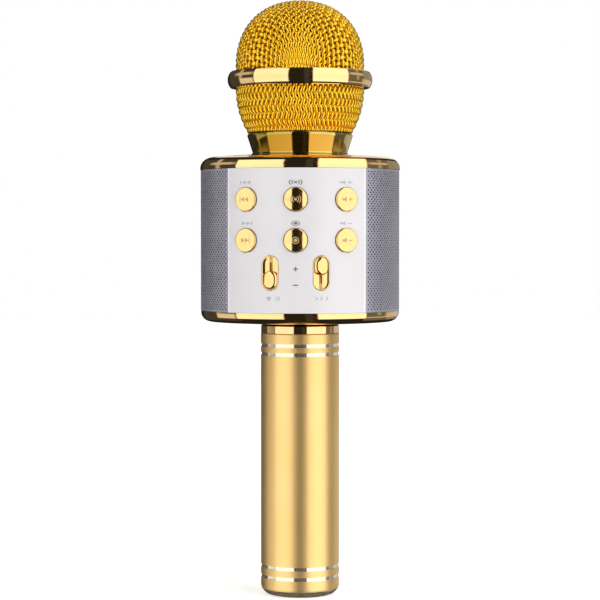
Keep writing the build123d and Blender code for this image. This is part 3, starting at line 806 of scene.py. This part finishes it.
def rounded_path(crossings, over):
    """A smooth line through a wire's crossings, and how far each point rides over or under the surface."""
    crossings = np.array(crossings)
    count = len(crossings)
    t = np.linspace(0, count - 1, (count - 1) * STEPS_PER_CELL + 1)
    k = np.minimum(t.astype(int), count - 2)
    u = (t - k)[:, None]
    before = crossings[np.maximum(k - 1, 0)]
    after = crossings[np.minimum(k + 2, count - 1)]
    here, there = crossings[k], crossings[k + 1]
    line = 0.5 * (
        2 * here
        + (there - before) * u
        + (2 * before - 5 * here + 4 * there - after) * u**2
        + (3 * here - before - 3 * there + after) * u**3
    )
    wave = CRIMP * np.cos(math.pi * t) * over
    return line, wave[:, None]


def on_dome(line, wave):
    """Puts a wire's line on the dome and lifts it by its wave. Gives its points and surface normals."""
    normals = np.array([dome_slope(p) for p in line])
    size = np.linalg.norm(normals, axis=1)[:, None]
    value = np.array([dome_value(p) for p in line])[:, None]
    normals /= size
    return line - normals * value / size + normals * wave, normals


def woven_dome():
    """The upper half of the mesh ball."""
    net = dome_net()
    c, s = math.cos(WEAVE_TURN), math.sin(WEAVE_TURN)
    turn = np.array([[c, -s, 0], [s, c, 0], [0, 0, 1]])
    reach = max(abs(i) for i, _ in net)
    paths, normals = [], []
    for family in (0, 1):
        for row in range(-reach, reach + 1):
            cells = [(k, row) if family == 0 else (row, k) for k in range(-reach, reach + 1)]
            run = []
            for cell in [*cells, None]:
                inside = cell in net and net[cell][2] > DOME_FOOT_Z - 0.6 * WIRE_PITCH
                if inside:
                    run.append(cell)
                    continue
                # the wire ends here: weave what has been gathered
                if len(run) > 1:
                    parity = (run[0][0] + run[0][1] + family) % 2
                    line, wave = rounded_path([net[c] for c in run], 1 if parity == 0 else -1)
                    path, normal = on_dome(line, wave)
                    paths.append(path @ turn.T)
                    normals.append(normal @ turn.T)
                run = []
    points, faces = tubes(paths, normals, WIRE_WIDE, WIRE_RADIUS, WIRE_SIDES)
    made = piece("woven_dome", points, faces, "head", "mesh_gold")
    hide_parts("mesh_dome")


BASKET_WIRES = 72
BASKET_ROWS = 8
# the basket's outline, an arc through its foot and its middle to where the straight top begins
BASKET_FOOT_RADIUS = 21.5 * MM
BASKET_MIDDLE = (25.3 * MM, 199.5 * MM)
BASKET_STRAIGHT_Z = 208.5 * MM


def basket_radius(z):
    """The radius of the basket's outside at a height: an arc that widens up to the band."""
    if z >= BASKET_STRAIGHT_Z:
        return DOME_RADIUS
    x1, z1 = BASKET_FOOT_RADIUS, BASKET_FOOT_Z
    x2, z2 = BASKET_MIDDLE
    x3, z3 = DOME_RADIUS, BASKET_STRAIGHT_Z
    d = 2 * (x1 * (z2 - z3) + x2 * (z3 - z1) + x3 * (z1 - z2))
    q1, q2, q3 = x1 * x1 + z1 * z1, x2 * x2 + z2 * z2, x3 * x3 + z3 * z3
    cx = (q1 * (z2 - z3) + q2 * (z3 - z1) + q3 * (z1 - z2)) / d
    cz = (q1 * (x3 - x2) + q2 * (x1 - x3) + q3 * (x2 - x1)) / d
    radius = math.hypot(x1 - cx, z1 - cz)
    return cx + math.sqrt(max(0.0, radius**2 - (z - cz) ** 2))


def woven_basket():
    """The lower half of the mesh ball: two families of slanted wires, over and under by turns."""
    steps = BASKET_ROWS * STEPS_PER_CELL
    half_cell = math.pi / BASKET_WIRES
    low, high = BASKET_FOOT_Z + 0.4 * MM, BASKET_TOP_Z
    paths, normals = [], []
    for lean in (1, -1):
        for wire in range(BASKET_WIRES):
            path, normal = [], []
            for s in range(steps + 1):
                share = s / steps
                z = low + (high - low) * share
                t = share * BASKET_ROWS
                a = 2 * math.pi * wire / BASKET_WIRES + lean * half_cell * t
                slope = (basket_radius(z + 0.1 * MM) - basket_radius(z - 0.1 * MM)) / (0.2 * MM)
                out = Vector((math.cos(a), math.sin(a), -slope)).normalized()
                r = basket_radius(z) - WIRE_RADIUS - CRIMP
                lift = CRIMP * math.cos(math.pi * t) * lean
                path.append(np.array([r * math.cos(a), r * math.sin(a), z]) + lift * np.array(out))
                normal.append(np.array(out))
            paths.append(np.array(path))
            normals.append(np.array(normal))
    points, faces = tubes(paths, normals, WIRE_WIDE, WIRE_RADIUS, WIRE_SIDES)
    made = piece("woven_basket", points, faces, "head", "mesh_gold")
    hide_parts("mesh_basket")


HEM_HALF_WIDTH = 0.6 * MM
HEM_HALF_HEIGHT = 0.5 * MM


def basket_hem():
    """The rolled hem that gathers the wires' ends at the basket's foot."""
    steps, sides = 160, 10
    centre_r = basket_radius(BASKET_FOOT_Z + 0.5 * MM) - 0.75 * MM
    centre_z = BASKET_FOOT_Z + 0.55 * MM
    points, faces = [], []
    for k in range(steps):
        a = 2 * math.pi * k / steps
        for s in range(sides):
            b = 2 * math.pi * s / sides
            r = centre_r + HEM_HALF_WIDTH * math.cos(b)
            points.append((r * math.cos(a), r * math.sin(a), centre_z + HEM_HALF_HEIGHT * math.sin(b)))
    for k in range(steps):
        for s in range(sides):
            a, b = k * sides, (k + 1) % steps * sides
            t = (s + 1) % sides
            faces.append((a + s, b + s, b + t, a + t))
    piece("basket_hem", points, faces, "head", "mesh_gold")


# -------- foam windscreen

FOAM_WALL = 3.0 * MM
# the cup's wall leans in below this height, by this much at its foot
FOAM_STRAIGHT_Z = 210 * MM
FOAM_TAPER = 1.9 * MM
# the share of the wall's steps that lie below the dome's centre
FOAM_FOOT_SHARE = 0.35
FOAM_DENTS = 40
DENT_SHARPNESS = 60


def foam_windscreen():
    """The foam inside the mesh: a soft cup, a little uneven, with pores in its skin."""
    low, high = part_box("foam_windscreen")
    outer_r, bottom_z, top_z = high.x, low.z, high.z
    around, up = 120, 46
    rng = random.Random(4)

    def random_dent():
        """A dent's direction from the dome's centre, and its depth in millimetres."""
        direction = Vector((rng.uniform(-1, 1), rng.uniform(-1, 1), rng.uniform(-0.6, 1))).normalized()
        return direction, rng.uniform(0.2, 0.5)

    dents = [random_dent() for _ in range(FOAM_DENTS)]

    def profile(inset, t):
        """A point of the cup's wall, from its foot at t 0 to its crown at t 1."""
        r, crown = outer_r - inset, top_z - inset
        centre = DOME_CENTRE_Z
        if t < FOAM_FOOT_SHARE:
            z = bottom_z + (centre - bottom_z) * t / FOAM_FOOT_SHARE
            basket_share = min(1.0, (z - bottom_z) / (FOAM_STRAIGHT_Z - bottom_z))
            return r - FOAM_TAPER * (1 - basket_share) ** 2, z
        a = math.pi / 2 * (t - FOAM_FOOT_SHARE) / (1 - FOAM_FOOT_SHARE)
        return r * math.cos(a) ** (2 / FULLNESS), centre + (crown - centre) * math.sin(a) ** (2 / FULLNESS)

    points, faces = [], []

    def skin(inset, sign):
        """One side of the cup's wall: the outside with sign 1, the inside with sign -1."""
        first = len(points)
        for i in range(up):
            r, z = profile(inset, i / up)
            for k in range(around):
                a = 2 * math.pi * k / around
                direction = Vector((r * math.cos(a), r * math.sin(a), z - DOME_CENTRE_Z)).normalized()
                dent = sum(depth * math.exp(-(1 - direction.dot(d)) * DENT_SHARPNESS) for d, depth in dents)
                pull = (dent + rng.uniform(0, 0.12)) * MM * sign
                points.append(Vector((r * math.cos(a), r * math.sin(a), z)) - direction * pull)
        points.append((0, 0, profile(inset, 1.0)[1]))
        for i in range(up - 1):
            for k in range(around):
                a, b = first + i * around, first + (i + 1) * around
                m = (k + 1) % around
                quad = (a + k, a + m, b + m, b + k)
                faces.append(quad if sign > 0 else quad[::-1])
        crown = len(points) - 1
        top = first + (up - 1) * around
        for k in range(around):
            tri = (top + k, top + (k + 1) % around, crown)
            faces.append(tri if sign > 0 else tri[::-1])
        return first

    outside, inside = skin(0.0, 1), skin(FOAM_WALL, -1)
    for k in range(around):
        m = (k + 1) % around
        faces.append((outside + k, inside + k, inside + m, outside + m))
    made = piece("foam_cup", points, faces, "head", "foam")
    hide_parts("foam_windscreen")


# -------- perforated grilles

# each hole sits in a tile, and every other row of tiles is shifted by half a tile
TILE_WIDTH = 1.84 * MM
TILE_HEIGHT = 0.92 * MM
HOLE_RADIUS = 0.37 * MM
GRILLE_THICK = 0.6 * MM
GRILLE_MARGIN = 0.45 * MM


def perforated_sheet(width, height):
    """A flat sheet's points and faces: plain borders round staggered rows of eight-sided holes."""
    columns = int((width - 2 * GRILLE_MARGIN) / TILE_WIDTH)
    rows = int((height - 2 * GRILLE_MARGIN) / TILE_HEIGHT)
    left = (width - columns * TILE_WIDTH) / 2
    low = (height - rows * TILE_HEIGHT) / 2
    points, faces, index = [], [], {}

    def at(x, y):
        """The number of the point at a place, made once and shared by its neighbours."""
        key = (round(x * 1e7), round(y * 1e7))
        if key not in index:
            index[key] = len(points)
            points.append((x, y))
        return index[key]

    half_w, half_h = TILE_WIDTH / 2, TILE_HEIGHT / 2
    rim = [(1, 0), (1, 1), (0, 1), (-1, 1), (-1, 0), (-1, -1), (0, -1), (1, -1)]
    turns = [math.radians(45 * k) for k in range(8)]
    for row in range(rows):
        y = low + (row + 0.5) * TILE_HEIGHT
        shift = half_w if row % 2 else 0.0
        for column in range(columns - (row % 2)):
            x = left + shift + (column + 0.5) * TILE_WIDTH
            outer = [at(x + i * half_w, y + j * half_h) for i, j in rim]
            hole = [at(x + HOLE_RADIUS * math.cos(a), y + HOLE_RADIUS * math.sin(a)) for a in turns]
            for k in range(8):
                m = (k + 1) % 8
                faces.append((outer[k], outer[m], hole[m], hole[k]))
        if row % 2:
            for x0 in (left, left + (columns - 0.5) * TILE_WIDTH):
                x1, y0, y1 = x0 + half_w, y - half_h, y + half_h
                faces.append((at(x0, y0), at(x1, y0), at(x1, y), at(x1, y1), at(x0, y1), at(x0, y)))
    right, high = left + columns * TILE_WIDTH, low + rows * TILE_HEIGHT
    for k in range(2 * columns):
        x0, x1 = left + k * half_w, left + (k + 1) * half_w
        faces.append((at(x0, 0), at(x1, 0), at(x1, low), at(x0, low)))
        faces.append((at(x0, high), at(x1, high), at(x1, height), at(x0, height)))
    for k in range(2 * rows):
        y0, y1 = low + k * half_h, low + (k + 1) * half_h
        faces.append((at(0, y0), at(left, y0), at(left, y1), at(0, y1)))
        faces.append((at(right, y0), at(width, y0), at(width, y1), at(right, y1)))
    for x0, x1 in ((0, left), (right, width)):
        for y0, y1 in ((0, low), (high, height)):
            faces.append((at(x0, y0), at(x1, y0), at(x1, y1), at(x0, y1)))
    return points, faces


def bent_plate(name, flat, outer, thick, start, base_z, body, slot):
    """Bends a flat sheet round the drum's axis and gives it thickness. Start is its first edge's angle."""
    points, faces = flat
    start = math.radians(start)

    def bend(radius):
        made = []
        for x, y in points:
            a = start + x / outer
            made.append((radius * math.sin(a), -radius * math.cos(a), base_z + y))
        return made

    count = len(points)
    solid = bend(outer) + bend(outer - thick)
    edges = dict.fromkeys((a, b) for face in faces for a, b in zip(face, face[1:] + face[:1]))
    closed = list(faces) + [tuple(v + count for v in face[::-1]) for face in faces]
    closed += [(a + count, b + count, b, a) for a, b in edges if (b, a) not in edges]
    return piece(name, solid, closed, body, slot, smooth=False)


def side_grilles():
    """The two perforated side plates."""
    low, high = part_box("grille_right")
    outer = high.x
    flat = perforated_sheet(math.radians(GRILLE_END - GRILLE_START) * outer, high.z - low.z)
    for side, start in (("right", GRILLE_START), ("left", -GRILLE_END)):
        name = f"perforated_{side}"
        made = bent_plate(name, flat, outer, GRILLE_THICK, start, low.z, "main", "grille_grey")
        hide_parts(f"grille_{side}")


# -------- dust cloths

# how many degrees a cloth's edge stops short of its grille's
CLOTH_MARGIN = 1.0
CLOTH_THICK = 0.25 * MM
CLOTH_COLUMNS = 80
CLOTH_ROWS = 40


def plain_sheet(width, height):
    """A flat grid's points and faces."""
    points = [
        (width * i / CLOTH_COLUMNS, height * j / CLOTH_ROWS)
        for j in range(CLOTH_ROWS + 1)
        for i in range(CLOTH_COLUMNS + 1)
    ]
    faces = []
    for j in range(CLOTH_ROWS):
        for i in range(CLOTH_COLUMNS):
            a = j * (CLOTH_COLUMNS + 1) + i
            faces.append((a, a + 1, a + CLOTH_COLUMNS + 2, a + CLOTH_COLUMNS + 1))
    return points, faces


def dust_cloths():
    """Acoustic cloth stretched behind each grille."""
    front, back = GRILLE_START + CLOTH_MARGIN, GRILLE_END - CLOTH_MARGIN
    for side, start in (("right", front), ("left", -back)):
        low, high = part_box(f"grille_cloth_{side}")
        radius = max(abs(low.x), abs(high.x)) - 0.1 * MM
        width = math.radians(back - front) * radius
        flat = plain_sheet(width, high.z - low.z)
        name = f"dust_cloth_{side}"
        made = bent_plate(name, flat, radius, CLOTH_THICK, start, low.z, "main", "speaker_cloth")
        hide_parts(f"grille_cloth_{side}")


# -------- printed marks


def triangle(x, y, width, height, point=1):
    """A filled triangle that points right, or left with point -1."""
    tip = point * width / 2
    return [(x - tip, y - height / 2), (x + tip, y), (x - tip, y + height / 2)]


def bar(x, y, width, height):
    across, up = width / 2, height / 2
    return [(x - across, y - up), (x + across, y - up), (x + across, y + up), (x - across, y + up)]


def polar(x, y, radius, angle):
    """The point at a radius and an angle from a centre."""
    return x + radius * math.cos(angle), y + radius * math.sin(angle)


def disc(x, y, radius, sides=20):
    return [polar(x, y, radius, 2 * math.pi * k / sides) for k in range(sides)]


def ring(x, y, inner, width, start=0.0, end=360.0, sides=24):
    """An arc band as short quads."""
    quads = []
    outer = inner + width
    for k in range(sides):
        a, b = (math.radians(start + (end - start) * (k + m) / sides) for m in (0, 1))
        corners = ((inner, a), (outer, a), (outer, b), (inner, b))
        quads.append([polar(x, y, radius, angle) for radius, angle in corners])
    return quads


def arc(x, inner, half_angle, middle=0.0, width=0.2):
    """A ring's arc round the mark's axis, open to the right, or to the left with middle 180."""
    return ring(x, 0, inner, width, middle - half_angle, middle + half_angle)


LOUDSPEAKER = [bar(-1.1, 0, 0.5, 0.6), triangle(-0.7, 0, 0.9, 1.3, -1)]
# outlines in millimetres, about the mark's middle
MARKS = {
    "previous": [
        bar(-1.25, 0, 0.22, 1.2),
        triangle(-0.55, 0, 0.95, 1.2, -1),
        triangle(0.5, 0, 0.95, 1.2, -1),
    ],
    "next": [triangle(-0.5, 0, 0.95, 1.2), triangle(0.55, 0, 0.95, 1.2), bar(1.25, 0, 0.22, 1.2)],
    "scan": [
        disc(0, 0, 0.34),
        *arc(0, 0.62, 60),
        *arc(0, 0.62, 60, 180),
        *arc(0, 1.1, 45),
        *arc(0, 1.1, 45, 180),
    ],
    "record": [disc(0, 0, 0.42), *ring(0, 0, 0.66, 0.18)],
    "volume_up": [*LOUDSPEAKER, bar(0.75, 0, 1.0, 0.24), bar(0.75, 0, 0.24, 1.0)],
    "volume_down": [*LOUDSPEAKER, bar(0.75, 0, 1.0, 0.24)],
    "plus": [bar(0, 0, 1.9, 0.5), bar(0, 0.6, 0.5, 0.72), bar(0, -0.6, 0.5, 0.72)],
    "minus": [bar(0, 0, 2.0, 0.5)],
    "mic": [
        disc(-0.2, 0.25, 0.42),
        bar(-0.2, -0.45, 0.3, 0.8),
        *arc(0.45, 0.5, 50, width=0.18),
        *arc(0.45, 0.95, 50, width=0.18),
    ],
    "echo": [*arc(-1.2, 0.45, 70), *arc(-0.6, 0.6, 60), *arc(0.1, 0.75, 50)],
    "bolt": [triangle(0.1, 0.35, 0.9, 0.9, -1), triangle(-0.1, -0.35, 0.9, 0.9, 1)],
    "headphones": [
        *ring(0, -0.1, 0.75, 0.2, 0, 180),
        bar(-0.85, -0.35, 0.4, 0.7),
        bar(0.85, -0.35, 0.4, 0.7),
    ],
    "card": [bar(-0.1, -0.1, 1.1, 1.3), bar(0.1, 0.7, 0.7, 0.3)],
    "socket": [*ring(0, 0, 0.55, 0.2), bar(0, 0, 0.24, 0.5)],
}

INK_THICK = 0.04 * MM
ENGRAVING_THICK = 0.03 * MM


def mark(name, shapes, surface, body, material, wide=1.0, tall=1.0, thick=INK_THICK):
    """Raised ink: each convex outline is cut fine, laid on a surface and given thickness.

    The surface turns (across, up) in metres and a lift into a place in the row frame.
    """
    bm = bmesh.new()
    for shape in shapes:
        bm.faces.new([bm.verts.new((x * MM * wide, y * MM * tall, 0)) for x, y in shape])
    bmesh.ops.triangulate(bm, faces=bm.faces[:])
    bmesh.ops.subdivide_edges(bm, edges=bm.edges[:], cuts=1, use_grid_fill=True)
    raised = bmesh.ops.extrude_face_region(bm, geom=bm.faces[:])
    for v in (g for g in raised["geom"] if isinstance(g, bmesh.types.BMVert)):
        v.co.z = thick
    for v in bm.verts:
        v.co = surface(v.co.x, v.co.y, v.co.z)
    bmesh.ops.recalc_face_normals(bm, faces=bm.faces[:])
    mesh = bpy.data.meshes.new(name)
    bm.to_mesh(mesh)
    bm.free()
    add_piece(name, mesh, material, body)


def on_drum(angle, z):
    """A surface for marks: the drum's cylinder, centred at an angle and a height."""

    def surface(across, up, lift):
        a = math.radians(angle) + across / PANEL_OUTER
        r = PANEL_OUTER + lift
        return Vector((r * math.sin(a), -r * math.cos(a), z + up))

    return surface


# the keys' faces are domed to about this radius
KEY_DOME = 26.0 * MM


def on_key(angle, z):
    """A surface for marks: a key's domed face."""
    a = math.radians(angle)
    out = Vector((math.sin(a), -math.cos(a), 0))
    right = Vector((math.cos(a), math.sin(a), 0))

    def surface(across, up, lift):
        fall = KEY_DOME - math.sqrt(KEY_DOME**2 - across**2 - up**2)
        return out * (KEY_TOP - fall + lift) + right * across + Vector((0, 0, z + up))

    return surface


# a key's label lies this far above its middle
LABEL_RISE = 6.75 * MM
FADER_SIGN_Z = 123.7 * MM
MIDDLE_SIGNS = (("plus", 135.4 * MM), ("minus", 129.0 * MM))
PORT_SIGNS = (
    ("headphones", 188.0, 166.0 * MM),
    ("bolt", 188.0, 156.0 * MM),
    ("socket", 188.0, 142.5 * MM),
    ("card", 167.0, 156.0 * MM),
)


def printed_marks():
    """Generic symbols on the panel, the keys and the rear plate."""
    for sign, angle, z in KEY_PLACES:
        label = on_drum(angle, z + LABEL_RISE)
        label_ink = PALE_INK if angle else PANEL_INK
        mark(f"print_{sign}", MARKS[sign], label, "main", label_ink, 2.1, 1.2)
        face = on_key(angle, z)
        body = f"{sign}_key"
        mark(f"engraved_{sign}", MARKS[sign], face, body, KEY_INK, 1.7, 1.7, ENGRAVING_THICK)
    for sign, z in MIDDLE_SIGNS:
        mark(f"print_{sign}", MARKS[sign], on_drum(0.0, z), "main", PANEL_INK)
    for sign, angle in (("mic", -FADER_ANGLE), ("echo", FADER_ANGLE)):
        label = on_drum(angle, FADER_SIGN_Z)
        mark(f"print_{sign}", MARKS[sign], label, "main", PALE_INK, 2.6, 1.1)
    for sign, angle, z in PORT_SIGNS:
        mark(f"print_{sign}", MARKS[sign], on_drum(angle, z), "main", PORT_INK)


# -------- the scene

bpy.context.scene.view_settings.view_transform = "Standard"
make_camera()
make_world()
make_lights()
make_floor()
dress_frame()
woven_dome()
woven_basket()
basket_hem()
foam_windscreen()
side_grilles()
dust_cloths()
printed_marks()
